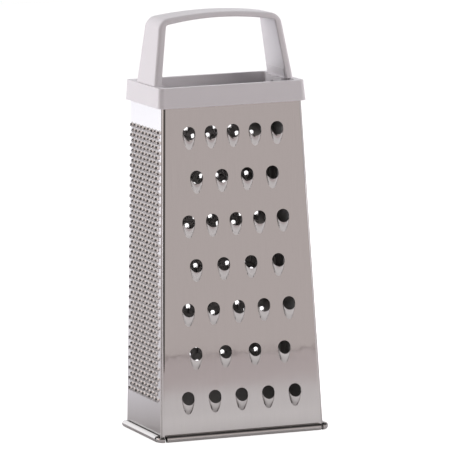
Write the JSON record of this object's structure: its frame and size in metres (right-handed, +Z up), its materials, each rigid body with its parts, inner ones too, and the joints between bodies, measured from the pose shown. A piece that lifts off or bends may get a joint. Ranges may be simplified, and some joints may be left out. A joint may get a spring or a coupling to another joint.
{
  "type": "box grater",
  "caption": "Four-sided tapered box grater with punched steel panels, a rolled foot hem, a plastic collar and an arched carrying handle.",
  "frame": {"origin": "on the floor under the middle of the body, the centre of the bounding box's underside", "axes": "+Z up, +X to the right when the coarse face is looked at, the coarse face looks to -Y, the rasp face to -X, the slicing face to +X and the medium face to +Y"},
  "size_m": [0.1026, 0.0706, 0.2363],
  "materials": {
    "steel": "plain rolled stainless sheet, satin bright",
    "plastic": "pale grey satin moulding"
  },
  "bodies": {
    "root": {"coarse_panel": "steel", "medium_panel": "steel", "rasp_panel": "steel", "slicer_panel": "steel", "collar": "plastic", "carry_handle": "plastic"}
  },
  "joints": []
}
